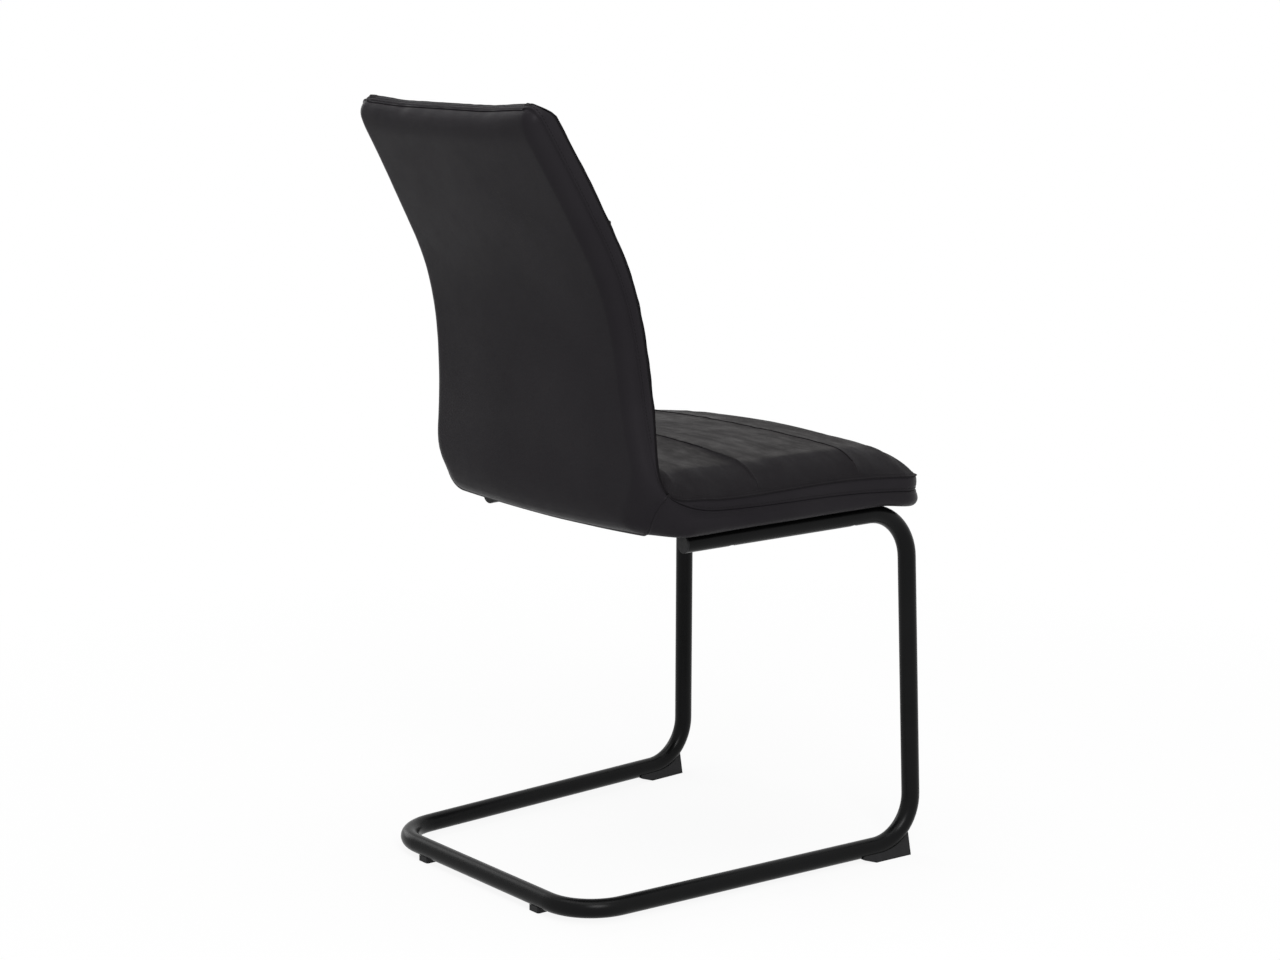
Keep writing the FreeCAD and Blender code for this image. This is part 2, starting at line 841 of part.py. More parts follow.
whole = Part.makeCompound(list(solids.values()))
box = whole.optimalBoundingBox(False, False)
rowShiftY = -(box.YMin + box.YMax) / 2
print("box", [round(v, 2) for v in (box.XMin, box.XMax, box.YMin, box.YMax, box.ZMin, box.ZMax)])
print("shift", round(rowShiftY, 3))

for name, solid in solids.items():
    parts = solid.Solids
    print(name, "solids", len(parts), "valid", solid.isValid(), "closed",
          all(s.isClosed() for s in parts), "mm3", round(solid.Volume))
    solid = parts[0].copy()
    solid.translate(Vector(0, rowShiftY, 0))
    solid.exportStep("parts/" + name + ".step")
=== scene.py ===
import json
import math

import bpy
import numpy as np
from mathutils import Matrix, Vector, noise


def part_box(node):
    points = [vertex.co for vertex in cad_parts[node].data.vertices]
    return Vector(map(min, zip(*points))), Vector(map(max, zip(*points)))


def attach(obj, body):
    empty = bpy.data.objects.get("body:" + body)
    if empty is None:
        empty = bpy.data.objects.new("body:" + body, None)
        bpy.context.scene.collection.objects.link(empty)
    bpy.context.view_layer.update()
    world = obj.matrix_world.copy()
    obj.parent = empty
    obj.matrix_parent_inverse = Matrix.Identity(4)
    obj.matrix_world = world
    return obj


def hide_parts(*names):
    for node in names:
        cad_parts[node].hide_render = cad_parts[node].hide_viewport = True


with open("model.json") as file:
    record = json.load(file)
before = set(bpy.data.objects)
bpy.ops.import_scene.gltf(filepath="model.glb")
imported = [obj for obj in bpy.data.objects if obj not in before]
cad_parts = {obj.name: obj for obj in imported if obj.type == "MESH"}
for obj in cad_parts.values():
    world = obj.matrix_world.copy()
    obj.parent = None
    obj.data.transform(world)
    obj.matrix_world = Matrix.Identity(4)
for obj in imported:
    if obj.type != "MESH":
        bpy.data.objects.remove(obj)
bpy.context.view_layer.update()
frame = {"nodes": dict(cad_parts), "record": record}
print("frame loaded,", len(frame["nodes"]), "nodes")

tubeRadius = 0.011
# the upholstery is laid out from the middle of the rear floor tube
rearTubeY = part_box("frame_tube")[1].y - tubeRadius


# camera, where the photograph was taken from

camera = {
    "target": (-0.0262, -0.2078, 0.4859),   # a point on its axis, y from the rear floor tube
    "distance": 3.2129,
    "azimuth": 38.288,       # degrees round from the chair's right side towards its back
    "elevation": 10.145,
    "focal": 2709.85,        # all three in pixels of the 1280 by 960 photograph
    "middle": (633.95, 462.59),
    "size": (1280, 960),
    "sensor": 36,            # millimetres across
}


def makeCamera(c):
    az = math.radians(c["azimuth"])
    el = math.radians(c["elevation"])
    back = Vector((-math.cos(az) * math.cos(el), math.sin(az) * math.cos(el), math.sin(el)))
    data = bpy.data.cameras.new("camera")
    data.sensor_width = c["sensor"]
    wide, high = c["size"]
    data.lens = c["focal"] / wide * c["sensor"]
    data.shift_x = (wide / 2 - c["middle"][0]) / wide
    data.shift_y = (c["middle"][1] - high / 2) / wide
    obj = bpy.data.objects.new("camera", data)
    bpy.context.collection.objects.link(obj)
    target = Vector(c["target"]) + Vector((0, rearTubeY, 0))
    obj.location = target + back * c["distance"]
    obj.rotation_euler = (-back).to_track_quat("-Z", "Y").to_euler()
    bpy.context.scene.camera = obj


makeCamera(camera)
bpy.context.scene.view_settings.view_transform = "Standard"
print("camera placed")


# materials

def emptyTree(owner):
    owner.use_nodes = True
    owner.node_tree.nodes.clear()
    return owner.node_tree


def newMaterial(name):
    material = bpy.data.materials.new(name)
    tree = emptyTree(material)
    output = tree.nodes.new("ShaderNodeOutputMaterial")
    shader = tree.nodes.new("ShaderNodeBsdfPrincipled")
    tree.links.new(shader.outputs[0], output.inputs[0])
    coords = tree.nodes.new("ShaderNodeTexCoord")
    return material, tree, shader, coords.outputs["Object"]


def noiseNode(tree, coords, scale, detail=4.0, roughness=0.55, stretch=(1, 1, 1)):
    mapping = tree.nodes.new("ShaderNodeMapping")
    mapping.inputs["Scale"].default_value = stretch
    tree.links.new(coords, mapping.inputs["Vector"])
    node = tree.nodes.new("ShaderNodeTexNoise")
    node.inputs["Scale"].default_value = scale
    node.inputs["Detail"].default_value = detail
    node.inputs["Roughness"].default_value = roughness
    tree.links.new(mapping.outputs[0], node.inputs["Vector"])
    return node.outputs["Fac"]


def rampNode(tree, value, stops):
    node = tree.nodes.new("ShaderNodeValToRGB")
    ramp = node.color_ramp
    while len(ramp.elements) < len(stops):
        ramp.elements.new(0.5)
    for element, (position, colour) in zip(ramp.elements, stops):
        element.position = position
        element.color = (*colour, 1)
    tree.links.new(value, node.inputs[0])
    return node.outputs[0]


def rangeNode(tree, value, low, high, toLow, toHigh):
    node = tree.nodes.new("ShaderNodeMapRange")
    for i, v in enumerate((low, high, toLow, toHigh)):
        node.inputs[i + 1].default_value = v
    tree.links.new(value, node.inputs[0])
    return node.outputs[0]


def mathNode(tree, operation, *values):
    node = tree.nodes.new("ShaderNodeMath")
    node.operation = operation
    for value, socket in zip(values, node.inputs):
        if isinstance(value, float):
            socket.default_value = value
        else:
            tree.links.new(value, socket)
    return node.outputs[0]


def mixColours(tree, share, plain, pattern):
    # from a plain colour at share 0 to a pattern at 1
    node = tree.nodes.new("ShaderNodeMix")
    node.data_type = "RGBA"
    tree.links.new(share, node.inputs[0])
    node.inputs[6].default_value = (*plain, 1)
    tree.links.new(pattern, node.inputs[7])
    return node.outputs[2]


def bumpNode(tree, height, distance, strength, before=None):
    node = tree.nodes.new("ShaderNodeBump")
    node.inputs["Strength"].default_value = strength
    node.inputs["Distance"].default_value = distance
    tree.links.new(height, node.inputs["Height"])
    if before is not None:
        tree.links.new(before, node.inputs["Normal"])
    return node.outputs[0]


def leatherGrain(tree, coords, size):
    # pebbles with creases between them
    cells = tree.nodes.new("ShaderNodeTexVoronoi")
    cells.feature = "DISTANCE_TO_EDGE"
    cells.inputs["Scale"].default_value = 1 / size
    warp = noiseNode(tree, coords, 160, 2)
    shifted = tree.nodes.new("ShaderNodeVectorMath")
    shifted.operation = "MULTIPLY_ADD"
    tree.links.new(warp, shifted.inputs[0])
    shifted.inputs[1].default_value = (0.004, 0.004, 0.004)
    tree.links.new(coords, shifted.inputs[2])
    tree.links.new(shifted.outputs[0], cells.inputs["Vector"])
    return rangeNode(tree, cells.outputs["Distance"], 0.0, 0.25, 0.0, 1.0)


coverLook = {
    "dark": (0.0124, 0.0112, 0.0131),
    "light": (0.0174, 0.0160, 0.0182),
    "roughness": (0.36, 0.44),
    "ior": 1.12,
    "tint": (1.0, 0.94, 1.0),
    "grain": 0.0016,
}


def makeCoverLeather(c):
    material, tree, shader, coords = newMaterial("coverLeather")
    clouds = noiseNode(tree, coords, 6, 3, 0.5)
    colour = rampNode(tree, clouds, [(0.3, c["dark"]), (0.72, c["light"])])
    tree.links.new(colour, shader.inputs["Base Color"])
    wear = noiseNode(tree, coords, 38, 5, 0.6)
    low, high = c["roughness"]
    tree.links.new(rangeNode(tree, wear, 0.3, 0.7, low, high), shader.inputs["Roughness"])
    shader.inputs["IOR"].default_value = c["ior"]
    shader.inputs["Specular Tint"].default_value = (*c["tint"], 1)
    grain = leatherGrain(tree, coords, c["grain"])
    first = bumpNode(tree, grain, 0.00012, 0.5)
    second = bumpNode(tree, noiseNode(tree, coords, 90, 3), 0.0004, 0.15, first)
    tree.links.new(second, shader.inputs["Normal"])
    return material


# plain is a painted shade on the cushions' shoulders; the nap colours are lifted as a painted sheen on
# their flat faces
seatLook = {
    "plain": (0.0080, 0.0072, 0.0082),   # on the shoulders
    "dark": (0.0105, 0.0096, 0.0098),    # the nap on the flat of the cushion
    "light": (0.0300, 0.0282, 0.0278),
    "roughness": (0.48, 0.72),
    "ior": 1.16,
    "tint": (1.0, 0.96, 1.0),
    "grain": 0.0016,
    "streaks": 0.35,         # share of the streaks beside the patches
}


def paintedSheenShare(tree):
    # 1 where a cushion lies flat, falling to 0 over its shoulders; this places the painted sheen and the
    # painted shade
    geometry = tree.nodes.new("ShaderNodeNewGeometry")
    parts = tree.nodes.new("ShaderNodeSeparateXYZ")
    tree.links.new(geometry.outputs["Normal"], parts.inputs[0])
    up = rangeNode(tree, parts.outputs["Z"], 0.955, 0.998, 0, 1)
    ahead = rangeNode(tree, parts.outputs["Y"], -0.86, -0.97, 0, 1)
    return mathNode(tree, "MAXIMUM", up, ahead)


def makeSeatLeather(c):
    material, tree, shader, coords = newMaterial("seatLeather")
    # the nap lies in cloudy patches drawn out across the seat, painted lighter as a sheen on the flat of
    # each cushion, with a darker plain colour as painted shade on the shoulders
    patches = noiseNode(tree, coords, 32, 8, 0.68, (0.5, 1.0, 1.0))
    streaks = noiseNode(tree, coords, 90, 4, 0.6, (0.35, 1.0, 1.0))
    value = mathNode(tree, "MULTIPLY_ADD", streaks, c["streaks"], patches)
    napAndSheen = rampNode(tree, value, [(0.50, c["dark"]), (0.88, c["light"])])
    tree.links.new(mixColours(tree, paintedSheenShare(tree), c["plain"], napAndSheen), shader.inputs["Base Color"])
    low, high = c["roughness"]
    tree.links.new(rangeNode(tree, value, 0.55, 0.95, high, low), shader.inputs["Roughness"])
    shader.inputs["IOR"].default_value = c["ior"]
    shader.inputs["Specular Tint"].default_value = (*c["tint"], 1)
    grain = leatherGrain(tree, coords, c["grain"])
    first = bumpNode(tree, grain, 0.00015, 0.5)
    second = bumpNode(tree, value, 0.0004, 0.2, first)
    tree.links.new(second, shader.inputs["Normal"])
    return material


powderLook = {
    "dark": (0.0030, 0.0031, 0.0033),
    "light": (0.0046, 0.0047, 0.0049),
    "cloudScale": 18,
    "roughness": (0.24, 0.33),
    "wearScale": 60,
    "wearDetail": 4,
    "grainScale": 900,
    "grainDepth": 0.00008,
    "grainShare": 0.28,
    "gloss": ("IOR", 1.19),
}
plasticLook = {
    "dark": (0.007, 0.007, 0.0075),
    "light": (0.011, 0.011, 0.012),
    "cloudScale": 70,
    "roughness": (0.45, 0.6),
    "wearScale": 300,
    "wearDetail": 3,
    "grainScale": 1600,
    "grainDepth": 0.0001,
    "grainShare": 0.4,
    "gloss": ("Specular IOR Level", 0.2),
}


def makeBlackCoat(name, c):
    material, tree, shader, coords = newMaterial(name)
    shade = noiseNode(tree, coords, c["cloudScale"], 3)
    colour = rampNode(tree, shade, [(0.3, c["dark"]), (0.7, c["light"])])
    tree.links.new(colour, shader.inputs["Base Color"])
    wear = noiseNode(tree, coords, c["wearScale"], c["wearDetail"])
    low, high = c["roughness"]
    tree.links.new(rangeNode(tree, wear, 0.3, 0.7, low, high), shader.inputs["Roughness"])
    socket, value = c["gloss"]
    shader.inputs[socket].default_value = value
    grain = noiseNode(tree, coords, c["grainScale"], 2)
    tree.links.new(bumpNode(tree, grain, c["grainDepth"], c["grainShare"]), shader.inputs["Normal"])
    return material


def makeThread():
    material, tree, shader, coords = newMaterial("thread")
    twist = noiseNode(tree, coords, 1800, 2, 0.5, (1, 1, 3))
    colour = rampNode(tree, twist, [(0.3, (0.004, 0.004, 0.0045)), (0.7, (0.012, 0.011, 0.012))])
    tree.links.new(colour, shader.inputs["Base Color"])
    shader.inputs["Roughness"].default_value = 0.55
    shader.inputs["Specular IOR Level"].default_value = 0.1
    tree.links.new(bumpNode(tree, twist, 0.0002, 0.5), shader.inputs["Normal"])
    return material


def makePlywood():
    material, tree, shader, coords = newMaterial("plywood")
    grain = noiseNode(tree, coords, 60, 6, 0.6, (1.0, 0.12, 0.12))
    colour = rampNode(tree, grain, [(0.3, (0.42, 0.28, 0.15)), (0.7, (0.66, 0.49, 0.31))])
    tree.links.new(colour, shader.inputs["Base Color"])
    shader.inputs["Roughness"].default_value = 0.6
    tree.links.new(bumpNode(tree, grain, 0.0004, 0.3), shader.inputs["Normal"])
    return material


def makeSteel(name, dark, light, roughness, metallic):
    material, tree, shader, coords = newMaterial(name)
    brushed = noiseNode(tree, coords, 500, 3, 0.5, (1, 1, 0.2))
    tree.links.new(rampNode(tree, brushed, [(0.3, dark), (0.7, light)]), shader.inputs["Base Color"])
    shader.inputs["Metallic"].default_value = metallic
    low, high = roughness
    tree.links.new(rangeNode(tree, brushed, 0.3, 0.7, low, high), shader.inputs["Roughness"])
    return material


coverLeather = makeCoverLeather(coverLook)
seatLeather = makeSeatLeather(seatLook)
powderCoat = makeBlackCoat("powderCoat", powderLook)
blackPlastic = makeBlackCoat("blackPlastic", plasticLook)
thread = makeThread()
plywood = makePlywood()
zincSteel = makeSteel("zincSteel", (0.50, 0.50, 0.49), (0.68, 0.68, 0.66), (0.3, 0.45), 1.0)
blackSteel = makeSteel("blackSteel", (0.012, 0.012, 0.012), (0.03, 0.03, 0.03), (0.35, 0.5), 0.6)

finishOf = {
    "black_powder_coat": powderCoat,
    "black_plastic": blackPlastic,
    "birch_plywood": plywood,
    "seat_leather": seatLeather,
    "cover_leather": coverLeather,
    "zinc_steel": zincSteel,
    "black_steel": blackSteel,
}
for part in frame["record"]["subparts"]:
    node = frame["nodes"][part["node"]]
    for slot in node.material_slots:
        slot.material = finishOf[part["material_slot"]]
print("materials made")


# the side seam as one curve, from the top of the back to the front of the seat

rail = {
    "legTopY": -0.479,       # top of the legs, from the rear floor tube
    "height": 0.4258,        # middle of the rail there
    "slope": -3.9 / 328.0,   # its fall over its length
    "gap": 0.0003,           # between the rails and the cover under the seat
}
legTopY = rearTubeY + rail["legTopY"]


def railTop(y):
    return rail["height"] + rail["slope"] * (y - legTopY) + tubeRadius + rail["gap"]


restHeight = railTop(rearTubeY)

upholstery = {
    "sideSeam": [   # half width, distance behind the top of the legs, height over the rails
        (0.1710, 0.5157, 0.4758),
        (0.1750, 0.4807, 0.4168),
        (0.1795, 0.4457, 0.3538),
        (0.1825, 0.4177, 0.2968),
        (0.1855, 0.4017, 0.2428),
        (0.1890, 0.3930, 0.1819),
        (0.1955, 0.3884, 0.1271),
        (0.2025, 0.3855, 0.0936),
        (0.2115, 0.3766, 0.0589),
        (0.2162, 0.3508, 0.0402),
        (0.2196, 0.3250, 0.0321),
        (0.2212, 0.2890, 0.0286),
        (0.2260, 0.1810, 0.0271),
        (0.2295, 0.1110, 0.0261),
        (0.2325, 0.0510, 0.0226),
        (0.2350, -0.0120, 0.0166),
    ],
    "crease": 0.372,         # seat and back meet here, behind the top of the legs
    "seatCorner": 0.040,     # corner radii in plan
    "backCorner": 0.014,
    "seamPinch": 0.0020,     # how deep a seam draws the leather in
    "seamRoll": 0.0023,      # and over what width
    "diagonalPinch": 0.0021,   # the same for the seam between the two covers
    "diagonalRoll": 0.0026,
    "crossPinch": 0.0040,    # and for the cross seams of the cushions
    "crossRoll": 0.010,
    "crossStart": 0.002,     # which begin this far inside the side seam
    "crossFade": 0.018,
    "tuck": 0.005,           # the hidden side of a piece lies this far inside its edges
    "padTuck": 0.0040,       # and that of a cushion this far under them
    "coverTuck": 0.0015,
}


def throughPoints(points, count):
    # smooth curve through the points, spaced by their distances
    p = np.array(points)
    t = np.concatenate([[0], np.cumsum(np.linalg.norm(np.diff(p, axis=0), axis=1))])
    h = np.diff(t)
    n = len(t)
    left = np.eye(n)
    right = np.zeros((n, 3))
    for i in range(1, n - 1):
        left[i, i - 1:i + 2] = [h[i - 1], 2 * (h[i - 1] + h[i]), h[i]]
        right[i] = 6 * ((p[i + 1] - p[i]) / h[i] - (p[i] - p[i - 1]) / h[i - 1])
    bend = np.linalg.solve(left, right)
    u = np.linspace(0, t[-1], count)
    k = np.clip(np.searchsorted(t, u, side="right") - 1, 0, n - 2)
    a = (u - t[k])[:, None]
    b = (t[k + 1] - u)[:, None]
    w = h[k][:, None]
    curved = (bend[k] * b ** 3 + bend[k + 1] * a ** 3) / (6 * w)
    return curved + (p[k] / w - bend[k] * w / 6) * b + (p[k + 1] / w - bend[k + 1] * w / 6) * a


seamPoints = 4000
aboveCrease = 0.45           # this share of the seam, from the top, is sure to be in the back

seamLine = throughPoints(upholstery["sideSeam"], seamPoints)
seamLine += np.array([0, legTopY, restHeight])
seamRun = np.concatenate([[0], np.cumsum(np.linalg.norm(np.diff(seamLine, axis=0), axis=1))])
seamWay = np.gradient(seamLine, seamRun, axis=0)
seamTotal = seamRun[-1]
lowPart = seamRun > aboveCrease * seamTotal
creaseRow = np.argmax((seamLine[:, 1] < legTopY + upholstery["crease"]) & lowPart)
creaseAt = seamRun[creaseRow]

seat = {"sign": 1, "length": seamTotal - creaseAt, "corner": upholstery["seatCorner"]}
back = {"sign": -1, "length": creaseAt, "corner": upholstery["backCorner"]}


def seamFrame(side, d):
    # point on the seam, and the direction of heights over it, towards the sitter
    s = creaseAt + side["sign"] * np.asarray(d, float)
    point = [np.interp(s, seamRun, seamLine[:, i]) for i in range(3)]
    ty = np.interp(s, seamRun, seamWay[:, 1])
    tz = np.interp(s, seamRun, seamWay[:, 2])
    size = np.hypot(ty, tz)
    return point, tz / size, -ty / size


def place(side, d, x, h):
    d, x, h = np.broadcast_arrays(d, x, h)
    point, ny, nz = seamFrame(side, d)
    return np.stack([x, point[1] + ny * h, point[2] + nz * h], axis=-1)


def halfAt(side, d, inset=0.0):
    d = np.asarray(d, float)
    point, _, _ = seamFrame(side, d)
    corner = side["corner"]
    toCorner = np.maximum(0, corner - (side["length"] - d))
    inner = corner - inset
    reach = np.sqrt(np.maximum(0, inner ** 2 - toCorner ** 2))
    return np.where(toCorner > 0, point[0] - corner + reach, point[0] - inset)


def awayFromCrease(side, d):
    # direction along the side seam, away from the crease
    _, ny, nz = seamFrame(side, d)
    return np.stack([0 * ny, -side["sign"] * nz, side["sign"] * ny], axis=-1)


def smooth(t):
    t = np.clip(t, 0, 1)
    return t * t * (3 - 2 * t)


def quarter(t):
    t = np.clip(t, 0, 1)
    return np.sqrt(1 - (1 - t) ** 2)


def distanceAtY(y):
    # distance along the seat's seam from the crease to this y
    order = np.argsort(seamLine[creaseRow:, 1])
    return np.interp(y, seamLine[creaseRow:, 1][order], seamRun[creaseRow:][order]) - creaseAt


net = {
    "padStep": 0.006,        # between rows, away from the seams
    "coverStep": 0.005,
    "fine": 0.0009,          # and at them
    "reach": 0.016,
    "turn": 3,               # degrees between rows at an end corner
    # share of a shoulder with closer columns, columns there, beyond it and on to the middle
    "padColumns": (0.2, 9, 15, 46),
    "coverColumns": (0.25, 8, 16, 40),
    "coverWall": (0.0, 0.25, 0.55),
}


def stations(side, marks, step):
    # distances from the crease: closer beside the marks and round the end corners
    last = side["length"] - side["corner"]
    ends = [0.0] + [m for m in marks if 0 < m < last] + [last]
    out = [np.array([0.0])]
    for a, b in zip(ends[:-1], ends[1:]):
        here = [a]
        while here[-1] < b:
            near = float(smooth(min(abs(here[-1] - m) for m in marks) / net["reach"]))
            here.append(here[-1] + net["fine"] + (step - net["fine"]) * near)
        here = a + (np.array(here) - a) * (b - a) / (here[-1] - a)
        out.append(here[1:])
    turn = np.radians(np.arange(net["turn"], 91, net["turn"]))
    out.append(last + side["corner"] * np.sin(turn))
    return np.concatenate(out)


def sharesOver(edge, beside, beyond, crown):
    # shares of the way over a shoulder, closer beside its edge, and on to the middle
    over = np.concatenate([np.linspace(0, edge, beside)[:-1], np.linspace(edge, 1, beyond)])
    return over[None, :], np.linspace(0, 1, crown)[None, 1:]


def narrowed(shoulder, share):
    # a shoulder narrows where its dome comes down towards an end
    least = 0.3
    return shoulder * (least + (1 - least) * share)


def domeHalf(half, wall, rise, crown, shoulder, wallShares, shoulderShares, crownShares):
    # half a section, from its edge over a round shoulder to the middle of a crowned top
    inner = half - shoulder
    top = wall + rise
    radius = (inner ** 2 + crown ** 2) / (2 * crown)
    slopeSin = inner / radius
    slopeCos = np.sqrt(1 - slopeSin ** 2)
    across = rise * slopeCos - shoulder * slopeSin
    turn = (shoulder ** 2 + rise ** 2) / (2 * across)
    middleX = inner - turn * slopeSin
    middleH = top - turn * slopeCos
    fromAngle = np.arctan2(wall - middleH, half - middleX)
    toAngle = np.arctan2(top - middleH, inner - middleX)
    angle = fromAngle + (toAngle - fromAngle) * shoulderShares
    xs = [half + 0 * wallShares, middleX + turn * np.cos(angle)]
    hs = [wall * wallShares, middleH + turn * np.sin(angle)]
    lean = np.arcsin(slopeSin) * (1 - crownShares)
    xs.append(radius * np.sin(lean))
    hs.append(top + crown - radius + radius * np.cos(lean))
    return np.concatenate(xs, axis=1), np.concatenate(hs, axis=1)


def mirrored(x, h):
    return np.concatenate([x, -x[:, -2::-1]], axis=1), np.concatenate([h, h[:, -2::-1]], axis=1)


def gridNormals(grid, flip):
    across = np.gradient(grid, axis=1)
    along = np.gradient(grid, axis=0)
    n = np.cross(across, along)
    size = np.linalg.norm(n, axis=-1, keepdims=True)
    return flip * n / np.maximum(size, 1e-12)


def fromEdges(grid):
    # distance along the leather from both side edges, and from the free end
    step = np.linalg.norm(np.diff(grid, axis=1), axis=-1)
    run = np.concatenate([np.zeros((len(grid), 1)), np.cumsum(step, axis=1)], axis=1)
    sideways = np.minimum(run, run[:, -1:] - run)
    step = np.linalg.norm(np.diff(grid, axis=0), axis=-1)[::-1]
    run = np.concatenate([np.zeros((1, grid.shape[1])), np.cumsum(step, axis=0)], axis=0)[::-1]
    return sideways, run


def pinched(distance, depth, width):
    # how far a seam draws the surface in, at this distance from it
    return depth * (1 - quarter(distance / width))


def stitchGroove(distance):
    # a row of topstitches draws the leather in a little, at this distance from the seam
    return stitch["groove"] * np.exp(-((distance - stitch["inset"]) / stitch["grooveWidth"]) ** 2)


faintest = 0.03              # share below which a pucker is left out


def roughened(grid, normals, distance, pucker):
    # small puckers that fade away from the seams
    out = np.zeros(grid.shape[:2])
    for i in range(grid.shape[0]):
        for j in range(grid.shape[1]):
            fade = math.exp(-distance[i, j] / pucker["reach"])
            if fade > faintest:
                bump = noise.noise(Vector(grid[i, j]) / pucker["size"])
                out[i, j] = pucker["depth"] * fade * bump
    return grid + normals * out[..., None]


def meshOf(name, vertices, faces, material, flip=False):
    if flip:
        faces = [face[::-1] for face in faces]
    mesh = bpy.data.meshes.new(name)
    mesh.from_pydata([tuple(v) for v in vertices], [], faces)
    mesh.validate()
    mesh.polygons.foreach_set("use_smooth", [True] * len(mesh.polygons))
    obj = bpy.data.objects.new(name, mesh)
    bpy.context.collection.objects.link(obj)
    mesh.materials.append(material)
    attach(obj, "root")
    return obj


def ringFaces(rings):
    # quads from each ring of points to the next
    count = rings.shape[1]
    faces = []
    for i in range(len(rings) - 1):
        for j in range(count):
            k = (j + 1) % count
            faces.append([i * count + j, i * count + k, (i + 1) * count + k, (i + 1) * count + j])
    return faces


def loopSkin(name, rings, material, flip):
    # closed skin through rings of points, with a face over each end
    faces = ringFaces(rings)
    first = list(range(rings.shape[1]))
    last = len(rings) * rings.shape[1] - len(first)
    faces.append(first[::-1])
    faces.append([last + v for v in first])
    return meshOf(name, rings.reshape(-1, 3), faces, material, flip)


def doubleSkin(name, outer, inner, material, flip):
    # closed skin of an outer and an inner net with as many points
    rings = np.concatenate([outer, inner[:, ::-1]], axis=1)
    count = rings.shape[1]
    last = (len(rings) - 1) * count
    faces = ringFaces(rings)
    for j in range(outer.shape[1] - 1):
        quad = [j, count - 1 - j, count - 2 - j, j + 1]
        faces.append(quad)
        faces.append([last + v for v in quad[::-1]])
    return meshOf(name, rings.reshape(-1, 3), faces, material, flip)


def innerNet(side, d, grid, h):
    # the hidden side of a cushion or cover, drawn in at its edges
    half = np.abs(grid[:, :1, 0])
    x = grid[..., 0] * (1 - upholstery["tuck"] / half)
    return place(side, d[:, None], x, h)


# heights over the seam

strips = {
    "atCrease": 0.002,
    "seatMiddle": 0.0135,
    "seatFront": 0.018,
    "seatRun": 0.060,
    "backMiddle": 0.015,
    "backTop": 0.0182,
    "backEnd": 0.0090,
    "backRun": 0.110,
    "settle": 0.6,           # share of a side over which a strip reaches its full height
    "endCorners": 1.5,       # the back's strip narrows over this many corner radii at the top
    "bulge": 0.0012,         # how far the leather of a strip swells between its seams
}
thinnest = {"depth": 0.0012, "padRise": 0.0009, "coverRise": 0.0007, "wall": 0.0003, "crown": 0.0003}


def seatBand(d):
    s = strips
    lift = s["atCrease"] + (s["seatMiddle"] - s["atCrease"]) * smooth(d / s["seatRun"])
    rest = smooth((d - s["seatRun"]) / (seat["length"] * s["settle"]))
    return lift + (s["seatFront"] - s["seatMiddle"]) * rest


def backBand(d):
    s = strips
    lift = s["atCrease"] + (s["backMiddle"] - s["atCrease"]) * smooth(d / s["backRun"])
    rest = smooth((d - s["backRun"]) / (back["length"] * s["settle"]))
    lift = lift + (s["backTop"] - s["backMiddle"]) * rest
    toEnd = back["length"] - d
    return lift - (s["backTop"] - s["backEnd"]) * smooth(1 - toEnd / (s["endCorners"] * back["corner"]))


# cushions

seatPad = {
    "shoulder": 0.0513,
    "rise": 0.032,
    "riseShare": 0.874,
    "crest": 0.0830,         # top of the cushion over the rails, at its rear cross seam
    "crestSlope": 0.0377,
    "puff": 0.0042,
    "puffRun": 0.030,
    "frontRun": 0.0728,      # the cushion comes down over this distance at the front
    "frontPower": 2.626,
    "frontShoulder": 0.0771,
    "frontShoulderRun": 0.14,
    "endRun": 0.03,          # its shoulders narrow over this distance from the front
    "rearSeamY": legTopY + 0.243,
    "frontSeamY": legTopY + 0.096,
}
seatPad["seams"] = [distanceAtY(seatPad["rearSeamY"]), distanceAtY(seatPad["frontSeamY"])]
backPad = {
    "endRun": 0.075,         # the cushion rises over this distance from the top of the back
    "endTuck": 0.0022,       # and starts this far under the strip
    "endTuckRun": 0.02,
    "shoulder": 0.036,
    "rise": 0.0138,
    "crown": 0.008,
    "puff": 0.0035,
    "puffRun": 0.028,
    "seams": [back["length"] / 3, back["length"] * 2 / 3],
}
crease = {"run": 0.026, "share": 0.5}   # a cushion has this share of its height at the crease


def fromCrease(d):
    return crease["share"] + (1 - crease["share"]) * quarter(d / crease["run"])


def swelling(d, pad):
    near = np.min([np.abs(d - s) for s in pad["seams"]], axis=0)
    return pad["puff"] * quarter(near / pad["puffRun"])


def seatSection(d):
    pad = seatPad
    point, ny, nz = seamFrame(seat, d)
    crest = restHeight + pad["crest"] - pad["crestSlope"] * np.maximum(0, pad["rearSeamY"] - point[1])
    total = (crest - point[2]) / nz * fromCrease(d) + swelling(d, pad)
    band = seatBand(d)
    toEnd = np.clip(seat["length"] - d, 0, None)
    share = 1 - (1 - np.minimum(1, toEnd / pad["frontRun"])) ** pad["frontPower"]
    above = np.maximum(thinnest["depth"], (total - band) * share)
    rise = np.minimum(pad["rise"], pad["riseShare"] * above)
    front = smooth(1 - toEnd / pad["frontShoulderRun"])
    shoulder = pad["shoulder"] + (pad["frontShoulder"] - pad["shoulder"]) * front
    shoulder = narrowed(shoulder, np.minimum(1, toEnd / pad["endRun"]))
    return halfAt(seat, d), band, rise, above - rise, shoulder


def backSection(d):
    pad = backPad
    band = backBand(d)
    toEnd = np.clip(back["length"] - d, 0, None)
    share = 1 - (1 - np.minimum(1, toEnd / pad["endRun"])) ** 2
    rise = np.maximum(thinnest["padRise"], pad["rise"] * fromCrease(d) * share)
    crown = (pad["crown"] * fromCrease(d) + swelling(d, pad)) * share
    crown = np.maximum(thinnest["crown"], crown)
    start = band - pad["endTuck"] * smooth(1 - toEnd / pad["endTuckRun"])
    return halfAt(back, d), start, rise, crown, narrowed(pad["shoulder"], share)


